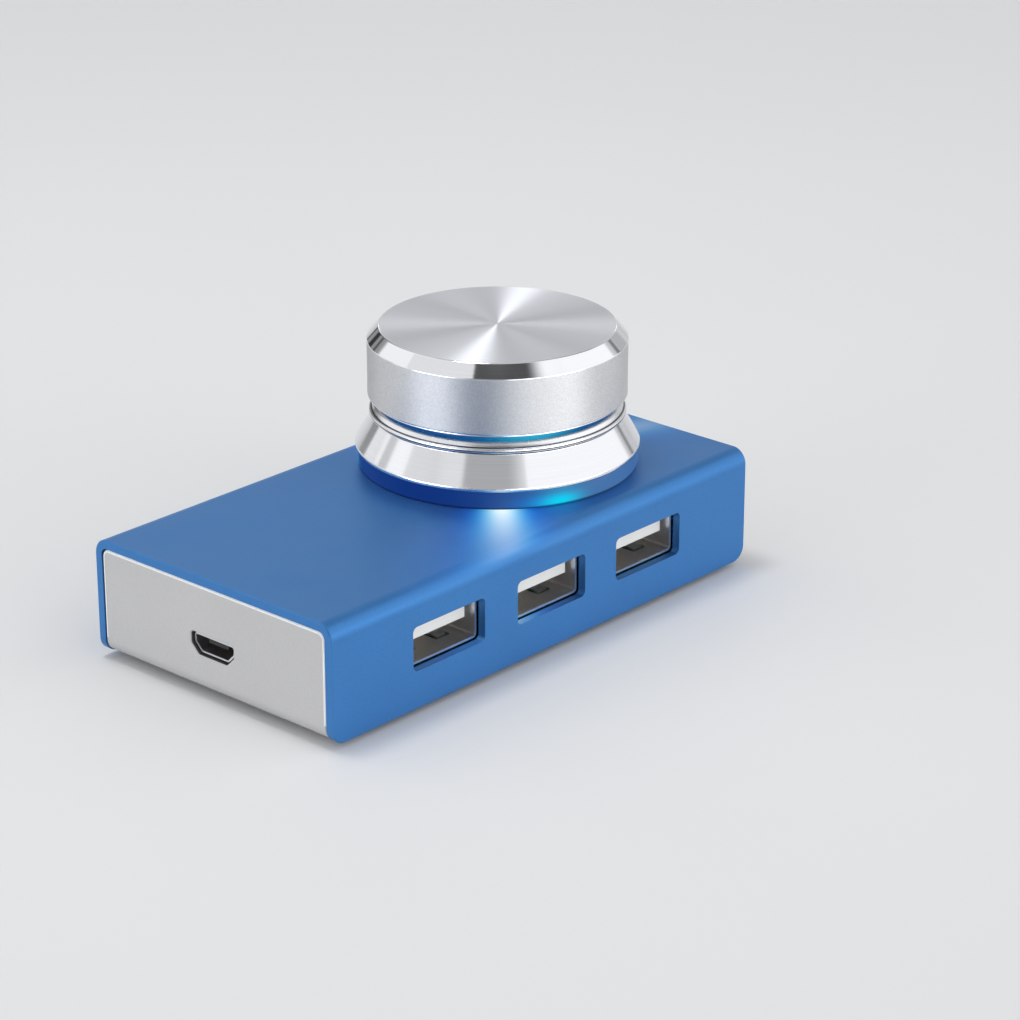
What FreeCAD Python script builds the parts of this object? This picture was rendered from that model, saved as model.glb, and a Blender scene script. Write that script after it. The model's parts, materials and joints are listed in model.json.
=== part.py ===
import FreeCAD, Part
import math
import os

import Sketcher
from FreeCAD import Vector

# A USB volume knob with a three-port hub. The housing lies along X, its sockets look along -Y and
# the knob's axis stands along Z. The origin is on the table, under the middle of the housing.

DIMENSIONS = {
    # housing shell: a U-section that is open at both ends and below
    "case_length": (83.0, "length of the housing shell along X"),
    "case_width": (44.0, "outer width of the housing shell along Y"),
    "case_height": (16.6, "outer height of the housing shell"),
    "case_wall": (1.2, "thickness of the housing shell's walls"),
    "case_roof_bend": (1.0, "inner radius of the two upper edges"),
    "case_corner_round": (2.2, "radius of the sides' lower corners at the open ends"),
    "case_end_bevel": (0.15, "bevel along the shell's outer edges"),
    "foot_proud": (0.8, "height of the sides' lower edges above the table"),
    # base tray: a bent sheet between the sides, whose upturned ends close the shell
    "tray_sheet": (1.0, "thickness of the tray's sheet"),
    "tray_rise": (0.2, "height of the tray's underside above the sides' lower edges"),
    "tray_side_gap": (0.15, "gap between the tray and each side of the shell"),
    "tray_roof_gap": (0.15, "gap between an end plate and the roof"),
    "tray_recess": (0.1, "depth of the end plates inside the shell's ends"),
    "tray_bend": (1.0, "inner radius of the tray's bends"),
    "tray_corner_round": (1.1, "radius of the end plates' upper corners"),
    "tray_edge_bevel": (0.15, "bevel along the tray's outer edges"),
    # rubber feet
    "foot_radius": (4.0, "radius of a rubber foot"),
    "foot_bevel": (0.3, "bevel round the sole of a foot"),
    "foot_from_end": (12.5, "from the shell's end to a foot's centre"),
    "foot_from_side": (9.5, "from the shell's side to a foot's centre"),
    # main board and its fixings
    "board_thick": (1.6, "thickness of the main board"),
    "board_end_gap": (0.65, "gap between the main board and each end plate"),
    "board_side_gap": (0.8, "gap between the main board and each side"),
    "board_round": (1.0, "radius of the main board's corners"),
    "spacer_height": (2.8, "height of the spacers under the main board"),
    "spacer_radius": (2.1, "outer radius of a spacer"),
    "screw_radius": (1.0, "shank radius of the M2 screws"),
    "screw_hole_gap": (0.1, "radial clearance of the M2 screws' holes"),
    "screw_head_radius": (1.9, "head radius of the M2 screws"),
    "screw_head_height": (0.7, "head height of the M2 screws"),
    "screw_head_bevel": (0.25, "bevel of the M2 screws' heads"),
    "screw_slot_width": (0.5, "width of the cross recess in a head"),
    "screw_slot_length": (2.0, "length of the cross recess in a head"),
    "screw_slot_depth": (0.45, "depth of the cross recess in a head"),
    "screw_end": (0.4, "length of a tray screw above its nut"),
    "screw_from_end": (4.8, "from the shell's end to a tray screw's axis"),
    "screw_from_side": (6.5, "from the shell's side to a tray screw's axis"),
    "nut_flats": (4.0, "M2 nut, across its flats"),
    "nut_height": (1.6, "height of an M2 nut"),
    # USB-A sockets
    "port_pitch": (20.0, "distance between the USB-A sockets"),
    "port_width": (13.1, "outer width of a USB-A socket's shell"),
    "port_height": (5.7, "outer height of a USB-A socket's shell"),
    "port_sheet": (0.3, "thickness of a USB-A socket's shell"),
    "port_depth": (14.0, "depth of a USB-A socket's shell"),
    "port_round": (0.3, "inner corner radius of a USB-A socket's shell"),
    "port_setback": (0.15, "gap between a socket's mouth and the front wall"),
    "window_gap": (0.25, "gap between a window's edge and the socket's shell"),
    "window_round": (0.8, "corner radius of a window in the front wall"),
    "block_depth": (4.6, "depth of the insulator block at a socket's back"),
    "tongue_width": (11.1, "width of a USB-A tongue"),
    "tongue_thick": (1.84, "thickness of a USB-A tongue"),
    "tongue_drop": (0.72, "gap between a tongue and its shell's roof"),
    "tongue_setback": (1.2, "from a socket's mouth to its tongue"),
    "contact_width": (1.0, "width of a USB-A contact"),
    "contact_sheet": (0.2, "thickness of a USB-A contact"),
    "contact_setback": (0.5, "from the tongue's tip to a contact"),
    "contact_inner": (1.0, "distance of the inner contacts from the middle"),
    "contact_outer": (3.5, "distance of the outer contacts from the middle"),
    "finger_width": (1.8, "width of a spring finger in a socket's shell"),
    "finger_place": (3.2, "distance of a finger from the socket's middle"),
    "finger_slot": (0.4, "gap round a finger"),
    "finger_root_gap": (0.8, "from the insulator block to a finger's root"),
    "finger_bend": (4.2, "from the socket's mouth to a finger's bend"),
    "finger_tip": (3.2, "from the socket's mouth to a finger's tip"),
    "finger_dip": (0.25, "how far a finger reaches into the socket"),
    "finger_curl": (0.15, "how far a finger's tip turns back"),
    # micro-USB socket
    "micro_width": (7.5, "outer width of the micro-USB shell"),
    "micro_height": (2.6, "outer height of the micro-USB shell"),
    "micro_bevel": (1.25, "bevel of the micro-USB shell's lower corners"),
    "micro_round": (0.3, "inner radius of the micro-USB shell's edges"),
    "micro_sheet": (0.25, "thickness of the micro-USB shell"),
    "micro_depth": (5.6, "depth of the micro-USB shell"),
    "micro_recess": (0.55, "depth of the micro-USB shell's mouth inside its plate"),
    "micro_gap": (0.25, "gap between the micro-USB shell and its plate"),
    "micro_block_depth": (1.6, "depth of the micro-USB insulator block"),
    "micro_tongue_width": (3.7, "width of the micro-USB tongue"),
    "micro_tongue_thick": (0.6, "thickness of the micro-USB tongue"),
    "micro_tongue_drop": (0.45, "gap between the micro-USB tongue and its roof"),
    "micro_tongue_setback": (0.7, "from the micro-USB mouth to its tongue"),
    "micro_contact_width": (0.35, "width of a micro-USB contact"),
    "micro_contact_sheet": (0.1, "thickness of a micro-USB contact"),
    "micro_contact_pitch": (0.65, "distance between the micro-USB contacts"),
    # rotary encoder with push switch
    "knob_from_end": (25.8, "from the shell's far end to the knob's axis"),
    "encoder_gap": (1.05, "gap between the encoder's terminals and the sockets"),
    "encoder_side": (12.4, "side of the encoder's square base"),
    "encoder_round": (0.6, "corner radius of the encoder's base"),
    "encoder_plate": (1.2, "thickness of the bushing's plate"),
    "clip_sheet": (0.3, "thickness of the steel clip over the encoder"),
    "clip_width": (9.0, "width of the steel clip"),
    "neck_radius": (3.5, "radius of the M7 bushing"),
    "neck_end": (0.3, "length of the M7 bushing above its nut"),
    "running_gap": (0.05, "radial clearance of the turning parts"),
    "shaft_radius": (3.0, "radius of the encoder's shaft"),
    "shaft_flat": (1.5, "distance of the shaft's flat from its axis"),
    "shaft_flat_length": (11.0, "length of the shaft's flat"),
    "shaft_stop_radius": (3.8, "radius of the stop ring on the shaft"),
    "shaft_stop_thick": (0.85, "thickness of the stop ring on the shaft"),
    "drive_radius": (2.5, "radius of the shaft where it drives the rotor"),
    "drive_flat": (1.55, "distance of the drive's flat from the axis"),
    "rotor_radius": (5.0, "radius of the code wheel"),
    "rotor_thick": (1.75, "thickness of the code wheel"),
    "rotor_gap": (0.3, "gap round the code wheel"),
    "rotor_floor": (2.2, "height of the floor under the code wheel"),
    "plunger_radius": (1.5, "radius of the switch plunger"),
    "plunger_gap": (0.2, "gap round the switch plunger"),
    "plunger_length": (1.75, "length of the switch plunger"),
    "switch_floor": (0.6, "height of the floor under the switch plunger"),
    "press_travel": (0.5, "how far the knob can be pressed"),
    "press_room": (0.2, "gap left over the code wheel when the knob is pressed"),
    "terminal_width": (1.0, "width of an encoder terminal"),
    "terminal_length": (1.2, "length of an encoder terminal outside the base"),
    "terminal_thick": (0.3, "thickness of an encoder terminal"),
    "terminal_pitch": (2.5, "distance between the encoder's terminals"),
    # parts that clamp the encoder to the roof
    "panel_hole_gap": (0.1, "radial gap round the bushing"),
    "sleeve_radius": (5.2, "outer radius of the spacer sleeve"),
    "washer_radius": (5.6, "outer radius of the panel washer"),
    "washer_thick": (0.5, "thickness of the panel washer"),
    "panel_nut_flats": (10.0, "M7 nut, across its flats"),
    "panel_nut_height": (2.0, "height of the M7 nut"),
    # light ring and what it stands round
    "ring_inset": (0.3, "how far the light ring's rim stands inside the skirt"),
    "ring_height": (2.6, "height of the light ring's rim"),
    "guide_wall": (1.4, "thickness of the collar"),
    "guide_overlap": (1.5, "how far the collar reaches up into the cap"),
    "boss_inset": (1.8, "from the collar's inner face to a screw boss's axis"),
    "boss_radius": (2.0, "radius of a screw boss"),
    "boss_screw_reach": (3.3, "length of a roof screw in its boss"),
    "boss_hole_end": (0.5, "depth of a boss's hole beyond its screw"),
    "boss_cover": (1.0, "thickness of a boss above its hole"),
    "thread_gap": (0.05, "radial clearance in a threaded hole"),
    "nut_room": (0.8, "gap between the M7 nut's corners and the light board"),
    "light_board_gap": (0.4, "gap between the light board and the bosses"),
    "light_board_thick": (1.0, "thickness of the light board"),
    "lamp_inset": (1.7, "from the light board's edge to a diode's centre"),
    "lamp_long": (3.5, "length of a light-emitting diode"),
    "lamp_wide": (2.8, "width of a light-emitting diode"),
    "lamp_high": (1.9, "height of a light-emitting diode"),
    "lamp_window": (1.1, "radius of a diode's domed lens"),
    "header_gap": (1.35, "gap between the encoder and the header's strip"),
    "header_pitch": (2.54, "distance between the header pins"),
    "header_pin": (0.64, "side of a header pin"),
    "header_strip": (2.5, "width and height of the header's strip"),
    "header_slot": (1.8, "width of the header's slot in the roof"),
    # skirt ring
    "skirt_reach": (3.5, "from the collar's outer face to the skirt's edge"),
    "skirt_height": (6.3, "height of the skirt ring"),
    "skirt_foot": (0.4, "height of the skirt's upright foot"),
    "cove_reach": (1.1, "from the collar's outer face to the cove"),
    "cove_height": (4.45, "height of the cove above the skirt's foot"),
    "bead_reach": (0.45, "how far the bead stands out of the cove"),
    "bead_height": (0.5, "height of the bead"),
    "bead_slope": (0.2, "height of the slopes under and over the bead"),
    "bead_round": (0.15, "rounding of the bead and the cove"),
    # knob cap
    "cap_radius": (18.1, "radius of the knob cap's side"),
    "cap_wall": (1.3, "thickness of the cap's side"),
    "waist_height": (0.8, "gap between the skirt ring and the cap"),
    "cap_height": (10.1, "height of the cap from its lower edge"),
    "cap_bevel_reach": (1.6, "reach of the cap's upper bevel"),
    "cap_bevel_drop": (1.8, "drop of the cap's upper bevel"),
    "cap_foot_bevel": (0.4, "bevel of the cap's lower edge"),
    "cap_gap": (0.4, "gap between the cap and the collar inside it"),
    "cap_roof": (2.6, "thickness of the cap's top"),
    "hub_radius": (6.2, "radius of the hub inside the cap"),
    "hub_bore": (5.0, "radius of the hub's bore"),
    "hub_drop": (1.6, "how far the hub hangs below the cap's edge"),
    "hub_ceiling": (3.1, "from the cap's top to the end of its bore"),
    "insert_gap": (0.02, "radial clearance of the insert in the hub"),
    "insert_end_gap": (0.1, "gap above the insert"),
    "insert_roof": (0.5, "thickness of the insert above its bore"),
    "shaft_end_gap": (0.3, "gap above the shaft's tip in the insert"),
    "shaft_fit": (0.03, "clearance of the insert round the shaft"),
    # chips and other board parts
    "hub_chip_long": (10.2, "length of the hub chip"),
    "hub_chip_wide": (5.3, "width of the hub chip"),
    "hub_chip_high": (1.75, "height of the hub chip"),
    "hub_chip_from_end": (30.75, "from the board's near end to the hub chip"),
    "hub_chip_y": (3.0, "Y of the hub chip"),
    "controller_long": (9.9, "length of the controller chip"),
    "controller_wide": (3.9, "width of the controller chip"),
    "controller_high": (1.6, "height of the controller chip"),
    "controller_from_end": (30.75, "from the board's near end to the controller chip"),
    "controller_y": (14.0, "Y of the controller chip"),
    "leg_width": (0.35, "width of a chip's leg"),
    "leg_length": (0.9, "length of a chip's leg"),
    "leg_thick": (0.2, "thickness of a chip's leg"),
    "leg_pitch": (1.27, "distance between a chip's legs"),
    "crystal_long": (11.0, "length of the crystal's can"),
    "crystal_wide": (4.6, "width of the crystal's can"),
    "crystal_high": (3.4, "height of the crystal's can"),
    "crystal_from_end": (17.25, "from the board's near end to the crystal"),
    "crystal_y": (3.0, "Y of the crystal"),
    "can_radius": (3.15, "radius of a can capacitor"),
    "can_height": (5.2, "height of a can capacitor"),
    "can_base": (6.6, "side of a can capacitor's base"),
    "can_base_height": (0.9, "height of a can capacitor's base"),
    "chip_part_long": (2.0, "length of a chip resistor or capacitor"),
    "chip_part_wide": (1.25, "width of a chip resistor or capacitor"),
    "chip_part_high": (0.6, "height of a chip resistor or capacitor"),
}

# places on the main board: distance from its near end, and Y
CAN_PLACES = [(8.25, 8.5), (16.25, 12.0)]
CHIP_PART_PLACES = [(22.25, 8.5), (22.25, 11.0), (22.25, 13.5), (22.25, 16.0), (38.75, 3.0), (38.75, 6.0),
                    (40.25, 14.0), (43.25, 14.0), (20.0, -3.0), (24.0, -3.0), (8.25, 1.0), (8.25, -3.0)]
LAMP_ANGLES = [8, 128, 248]
BOSS_ANGLES = [30, 150, 270]
PORT_COUNT = 3
MICRO_CONTACT_COUNT = 5

SIN45 = math.sqrt(0.5)
BEVEL_OFFSET = 2 - math.sqrt(2)         # growth of a 45 degree bevel's legs when its outline grows by 1


class Size:
    """A size with its present value and the sheet expression that drives it."""

    def __init__(self, value, text):
        self.value = value
        self.text = text

    def __add__(self, other):
        other = as_size(other)
        return Size(self.value + other.value, f"({self.text} + {other.text})")

    def __sub__(self, other):
        other = as_size(other)
        return Size(self.value - other.value, f"({self.text} - {other.text})")

    def __mul__(self, other):
        other = as_size(other)
        return Size(self.value * other.value, f"({self.text} * {other.text})")

    def __truediv__(self, other):
        other = as_size(other)
        return Size(self.value / other.value, f"({self.text} / {other.text})")

    def __rsub__(self, other):
        return as_size(other) - self

    def __neg__(self):
        return self * -1

    __radd__ = __add__
    __rmul__ = __mul__


def as_size(number):
    return number if isinstance(number, Size) else Size(float(number), f"({float(number):.9g})")


class Dimensions:
    """The sheet's cells by name."""

    def __init__(self, sheet, table):
        for row, (name, (value, note)) in enumerate(table.items(), start=1):
            sheet.set(f"A{row}", name)
            sheet.set(f"B{row}", str(value))
            sheet.setAlias(f"B{row}", name)
            sheet.set(f"C{row}", note)
            setattr(self, name, Size(value, f"dims.{name}"))


doc = FreeCAD.newDocument("volume_knob")
dims = Dimensions(doc.addObject("Spreadsheet::Sheet", "dims"), DIMENSIONS)
doc.recompute()


# ---- places that several pieces share -------------------------------------------------------------

half_length = dims.case_length / 2
half_width = dims.case_width / 2
case_top = dims.foot_proud + dims.case_height
roof_inside = case_top - dims.case_wall
tray_bottom = dims.foot_proud + dims.tray_rise
tray_top = tray_bottom + dims.tray_sheet
end_plate = half_length - dims.tray_recess                  # outer face of an end plate
board_bottom = tray_top + dims.spacer_height
board_top = board_bottom + dims.board_thick
board_half_length = end_plate - dims.tray_sheet - dims.board_end_gap
board_near_end = -board_half_length
port_mouth = dims.case_wall + dims.port_setback - half_width
rotor_bottom = board_top + dims.rotor_floor + dims.running_gap
stop_bottom = rotor_bottom + dims.rotor_thick + dims.press_room + dims.press_travel
stop_top = stop_bottom + dims.shaft_stop_thick
encoder_top = stop_top + dims.running_gap
encoder_height = encoder_top - board_top
drive_bottom = board_top + dims.switch_floor + dims.press_travel + dims.running_gap * 2 + dims.plunger_length
plate_top = encoder_top + dims.encoder_plate
sleeve_bottom = plate_top + dims.clip_sheet
ring_top = case_top + dims.ring_height
cap_bottom = ring_top + dims.skirt_height + dims.waist_height
hub_bottom = cap_bottom - dims.hub_drop
collar_top = cap_bottom + dims.guide_overlap
insert_top = cap_bottom + dims.cap_height - dims.hub_ceiling - dims.insert_end_gap
shaft_tip = insert_top - dims.insert_roof - dims.shaft_end_gap
screw_hole = dims.screw_radius + dims.screw_hole_gap
socket_back = port_mouth + dims.port_depth + dims.contact_sheet
knob_x = half_length - dims.knob_from_end
knob_y = socket_back + dims.encoder_gap + dims.terminal_length + dims.encoder_side / 2
knob_axis = (knob_x, knob_y)
collar_radius = dims.cap_radius - dims.cap_wall - dims.cap_gap
collar_inside = collar_radius - dims.guide_wall
boss_circle = collar_inside - dims.boss_inset
light_board_radius = boss_circle - dims.boss_radius - dims.light_board_gap
header_circle = dims.encoder_side / 2 + dims.header_gap + dims.header_strip / 2
skirt_radius = collar_radius + dims.skirt_reach


# ---- how a piece is drawn -------------------------------------------------------------------------

def bind(thing, path, size):
    thing.setExpression(path, as_size(size).text)


def place(thing, x=0, y=0, z=0):
    for axis, size in zip("xyz", (x, y, z)):
        bind(thing, f"Placement.Base.{axis}", size)
    return thing


def turn(thing, degrees):
    """Turns a piece about its own Z axis by a fixed angle."""
    thing.Placement.Rotation = FreeCAD.Rotation(Vector(0, 0, 1), degrees)
    return thing


def new_body(label, x=0, y=0, z=0):
    body = doc.addObject("PartDesign::Body", label)
    body.Label = label
    return place(body, x, y, z)


def new_sketch(body, plane, offset=0):
    """A sketch on one of the body's own origin planes, moved along the plane's normal."""
    sketch = body.newObject("Sketcher::SketchObject", f"{body.Name}_sketch")
    support = next(feature for feature in body.Origin.OriginFeatures if feature.Role == plane)
    sketch.AttachmentSupport = (support, "")
    sketch.MapMode = "FlatFace"
    bind(sketch, "AttachmentOffset.Base.z", offset)
    return sketch


def pin(sketch, geometry, vertex, x, y):
    """Ties one point of the sketch to the sheet."""
    for kind, size in (("DistanceX", as_size(x)), ("DistanceY", as_size(y))):
        constraint = sketch.addConstraint(Sketcher.Constraint(kind, -1, 1, geometry, vertex, size.value))
        bind(sketch, f"Constraints[{constraint}]", size)


def vector(point):
    return Vector(as_size(point[0]).value, as_size(point[1]).value, 0)


def outline(sketch, points):
    """A closed outline. A point is (x, y), or (x, y, via) where an arc through via leads to the next."""
    first = sketch.GeometryCount
    count = len(points)
    for index, point in enumerate(points):
        start, end = vector(point), vector(points[(index + 1) % count])
        if len(point) == 3:
            sketch.addGeometry(Part.Arc(start, vector(point[2]), end))
        else:
            sketch.addGeometry(Part.LineSegment(start, end))
    ends = []
    for index in range(count):
        edge = sketch.Geometry[first + index]
        forward = edge.StartPoint.distanceToPoint(vector(points[index])) < 1e-6
        ends.append((1, 2) if forward else (2, 1))
    for index, point in enumerate(points):
        following = (index + 1) % count
        sketch.addConstraint(Sketcher.Constraint(
            "Coincident", first + index, ends[index][1], first + following, ends[following][0]))
        pin(sketch, first + index, ends[index][0], point[0], point[1])
        if len(point) == 3:
            via = sketch.addGeometry(Part.Point(vector(point[2])), True)
            pin(sketch, via, 1, *point[2])
            sketch.addConstraint(Sketcher.Constraint("PointOnObject", via, 1, first + index))


def circle(sketch, x, y, radius):
    radius = as_size(radius)
    index = sketch.addGeometry(Part.Circle(vector((x, y)), Vector(0, 0, 1), radius.value))
    pin(sketch, index, 3, x, y)
    constraint = sketch.addConstraint(Sketcher.Constraint("Radius", index, radius.value))
    bind(sketch, f"Constraints[{constraint}]", radius)


def rectangle(sketch, x0, y0, x1, y1):
    outline(sketch, [(x0, y0), (x1, y0), (x1, y1), (x0, y1)])


def rounded_rectangle(sketch, x0, y0, x1, y1, radius):
    """A rectangle whose corners are quarter circles."""
    points = []
    for x, y, dx, dy, flip in ((x1, y0, -1, 1, False), (x1, y1, -1, -1, True),
                               (x0, y1, 1, -1, False), (x0, y0, 1, 1, True)):
        along_x, along_y = (x + radius * dx, y), (x, y + radius * dy)
        start, end = (along_y, along_x) if flip else (along_x, along_y)
        inset = radius * (1 - SIN45)
        points.append((*start, (x + inset * dx, y + inset * dy)))
        points.append(end)
    outline(sketch, points)


def pad(body, sketch, length, midplane=False, reverse=False):
    feature = body.newObject("PartDesign::Pad", f"{body.Name}_pad")
    feature.Profile = sketch
    bind(feature, "Length", length)
    feature.Midplane = midplane
    feature.Reversed = reverse
    return feature


def cuts(body, feature, before):
    """Recomputes and makes sure that the feature took material away."""
    doc.recompute()
    if not feature.Shape.Volume < before - 1e-6:
        raise RuntimeError(f"{feature.Name} of {body.Label} cuts nothing")
    return feature


def pocket(body, sketch, depth):
    """Cuts against the sketch's normal."""
    doc.recompute()
    before = body.Shape.Volume
    feature = body.newObject("PartDesign::Pocket", f"{body.Name}_pocket")
    feature.Profile = sketch
    bind(feature, "Length", depth)
    return cuts(body, feature, before)


def revolve(body, points):
    """Turns a profile of (radius, height) points about the body's Z axis."""
    sketch = new_sketch(body, "XZ_Plane")
    outline(sketch, points)
    feature = body.newObject("PartDesign::Revolution", f"{body.Name}_revolution")
    feature.Profile = sketch
    feature.ReferenceAxis = (sketch, ["V_Axis"])
    feature.Angle = 360
    return feature


def edge_names(shape, test):
    return [f"Edge{index}" for index, edge in enumerate(shape.Edges, start=1) if test(edge)]


def dress(body, kind, size, test):
    """Fillets or chamfers the edges that pass the test."""
    doc.recompute()
    base = body.Tip
    names = edge_names(base.Shape, test)
    if not names:
        raise RuntimeError(f"no edge of {body.Label} to dress")
    feature = body.newObject(f"PartDesign::{kind}", f"{body.Name}_{kind}")
    feature.Base = (base, names)
    bind(feature, "Radius" if kind == "Fillet" else "Size", size)
    return feature


def middle(edge):
    return edge.valueAt((edge.FirstParameter + edge.LastParameter) / 2)


def runs_along(edge, axis):
    """True for a straight edge along a unit axis."""
    if edge.Curve.TypeId != "Part::GeomLine":
        return False
    return abs(abs(edge.tangentAt(edge.FirstParameter).dot(axis)) - 1) < 1e-6


def near(value, size):
    return abs(value - as_size(size).value) < 1e-4


ALONG_X, ALONG_Y, ALONG_Z = Vector(1, 0, 0), Vector(0, 1, 0), Vector(0, 0, 1)


def box(label, x0, y0, z0, length, width, height):
    """A block by its low corner and its sizes."""
    block = doc.addObject("Part::Box", label)
    block.Label = label
    for path, size in (("Length", length), ("Width", width), ("Height", height)):
        bind(block, path, size)
    return place(block, x0, y0, z0)


def centred_box(label, x, y, z0, length, width, height):
    return box(label, x - as_size(length) / 2, y - as_size(width) / 2, z0, length, width, height)


def cylinder(label, x, y, z0, radius, height):
    rod = doc.addObject("Part::Cylinder", label)
    rod.Label = label
    bind(rod, "Radius", radius)
    bind(rod, "Height", height)
    return place(rod, x, y, z0)


def hexagon(label, x, y, z0, flats, height):
    prism = doc.addObject("Part::Prism", label)
    prism.Label = label
    prism.Polygon = 6
    bind(prism, "Circumradius", flats / math.sqrt(3))
    bind(prism, "Height", height)
    return place(prism, x, y, z0)


def cut(label, base, tool):
    feature = doc.addObject("Part::Cut", label)
    feature.Label = label
    feature.Base, feature.Tool = base, tool
    return feature


def fuse(label, shapes):
    feature = doc.addObject("Part::MultiFuse", label)
    feature.Label = label
    feature.Shapes = shapes
    return feature


def group(label, members):
    """Identical separate solids that share one node."""
    feature = doc.addObject("Part::Compound", label)
    feature.Label = label
    feature.Links = members
    return feature


def on_circle(radius, degrees):
    """A point of the circle round the knob's axis, measured from that axis."""
    angle = math.radians(degrees)
    return radius * round(math.cos(angle), 9), radius * round(math.sin(angle), 9)


def about_axis(radius, degrees):
    x, y = on_circle(radius, degrees)
    return knob_x + x, knob_y + y


def d_rod(label, z0, radius, flat, height):
    """A rod on the knob's axis whose +X side is planed down to a flat."""
    rod = cylinder(f"{label}_round", *knob_axis, z0, radius, height)
    side = box(f"{label}_side", knob_x + flat, knob_y - radius * 1.5, z0 - radius,
               radius * 2, radius * 3, height + radius * 2)
    return cut(label, rod, side)


# ---- housing --------------------------------------------------------------------------------------

def housing_shell():
    """U-section of the roof and both sides, with windows, bushing hole and slots."""
    wall, height, width = dims.case_wall, dims.case_height, half_width
    body = new_body("housing_shell", z=dims.foot_proud)
    profile = new_sketch(body, "YZ_Plane")
    right = [(width, height), (width, 0), (width - wall, 0), (width - wall, height - wall)]
    outline(profile, right + [(-y, z) for y, z in reversed(right)])
    pad(body, profile, dims.case_length, midplane=True)

    def corner(y, z):
        return lambda edge: (runs_along(edge, ALONG_X) and near(abs(middle(edge).y), y)
                             and near(middle(edge).z, z))
    dress(body, "Fillet", dims.case_roof_bend + wall, corner(width, height))
    dress(body, "Fillet", dims.case_roof_bend, corner(width - wall, height - wall))
    dress(body, "Fillet", dims.case_corner_round,
          lambda edge: runs_along(edge, ALONG_Y) and near(middle(edge).z, 0))

    def outer_end(edge):
        """An open end's outer edge on the roof or a side. The bevel runs on along the edges it meets."""
        point = middle(edge)
        return near(abs(point.x), half_length) and (near(point.z, height) or near(abs(point.y), width))
    dress(body, "Chamfer", dims.case_end_bevel, outer_end)

    windows = new_sketch(body, "XZ_Plane", offset=width)
    for index in range(PORT_COUNT):
        x = dims.port_pitch * (index - (PORT_COUNT - 1) / 2)
        reach = dims.port_width / 2 + dims.window_gap
        low = board_top - dims.foot_proud - dims.window_gap
        rounded_rectangle(windows, x - reach, low, x + reach, low + dims.port_height + dims.window_gap * 2,
                          dims.window_round)
    pocket(body, windows, wall * 1.5)

    holes = new_sketch(body, "XY_Plane", offset=height)
    circle(holes, *knob_axis, dims.neck_radius + dims.panel_hole_gap)
    for angle in BOSS_ANGLES:
        circle(holes, *about_axis(boss_circle, angle), screw_hole)
    slot_x, slot_y = about_axis(header_circle, 90)
    slot_reach = dims.header_pitch * 1.5
    rounded_rectangle(holes, slot_x - slot_reach, slot_y - dims.header_slot / 2, slot_x + slot_reach,
                      slot_y + dims.header_slot / 2, dims.header_slot / 4)
    pocket(body, holes, wall * 1.5)
    return body


def micro_outline(sketch, grow, lift):
    """The micro-USB outline, flat on top and bevelled below, grown outward and lifted."""
    side = dims.micro_width / 2 + grow
    bottom, top = lift - grow, lift + dims.micro_height + grow
    bevel = dims.micro_bevel + grow * BEVEL_OFFSET
    outline(sketch, [(side, top), (-side, top), (-side, bottom + bevel), (bevel - side, bottom),
                     (side - bevel, bottom), (side, bottom + bevel)])


def round_micro_edges(body, radius, test=lambda edge: True):
    """Rounds those of the edges along X of a piece with the micro-USB outline that pass the test."""
    dress(body, "Fillet", radius, lambda edge: runs_along(edge, ALONG_X) and test(edge))


def base_tray():
    """Bent sheet: a floor between the shell's sides and two upturned end plates."""
    sheet = dims.tray_sheet
    body = new_body("base_tray", z=tray_bottom)
    plate_height = roof_inside - dims.tray_roof_gap - tray_bottom
    profile = new_sketch(body, "XZ_Plane")
    outline(profile, [(end_plate, 0), (end_plate, plate_height), (end_plate - sheet, plate_height),
                      (end_plate - sheet, sheet), (sheet - end_plate, sheet),
                      (sheet - end_plate, plate_height), (-end_plate, plate_height), (-end_plate, 0)])
    tray_half_width = half_width - dims.case_wall - dims.tray_side_gap
    pad(body, profile, tray_half_width * 2, midplane=True)

    def bend(x, z):
        return lambda edge: (runs_along(edge, ALONG_Y) and near(abs(middle(edge).x), x)
                             and near(middle(edge).z, z))
    dress(body, "Fillet", dims.tray_bend + sheet, bend(end_plate, 0))
    dress(body, "Fillet", dims.tray_bend, bend(end_plate - sheet, sheet))
    dress(body, "Fillet", dims.tray_corner_round,
          lambda edge: runs_along(edge, ALONG_X) and near(middle(edge).z, plate_height))

    def plate_edge(edge):
        """An end plate's outer edge on top or at a side. The bevel runs on along the edges it meets."""
        on_plate = near(abs(middle(edge).x), end_plate)
        return on_plate and (runs_along(edge, ALONG_Z) or near(middle(edge).z, plate_height))
    dress(body, "Chamfer", dims.tray_edge_bevel, plate_edge)

    socket = new_sketch(body, "YZ_Plane", offset=sheet * 1.2 - end_plate)
    micro_outline(socket, dims.micro_gap, board_top - tray_bottom)
    pocket(body, socket, sheet * 1.5)

    def port_edge(edge):
        """An edge of the opening round the micro-USB shell."""
        reach, rise = dims.micro_width.value / 2, dims.micro_height.value / 2
        centre = (board_top - tray_bottom).value + rise
        room = dims.micro_gap.value * 2
        return abs(middle(edge).y) < reach + room and abs(middle(edge).z - centre) < rise + room
    round_micro_edges(body, dims.micro_round + dims.micro_sheet, port_edge)
    dress(body, "Chamfer", dims.tray_edge_bevel,
          lambda edge: port_edge(edge) and near(middle(edge).x, -end_plate))

    holes = new_sketch(body, "XY_Plane", offset=sheet)
    for x, y in screw_places():
        circle(holes, x, y, screw_hole)
    pocket(body, holes, sheet * 1.5)
    return body


def corners(x, y):
    return [(x * sx, y * sy) for sx in (-1, 1) for sy in (-1, 1)]


def screw_places():
    return corners(half_length - dims.screw_from_end, half_width - dims.screw_from_side)


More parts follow.
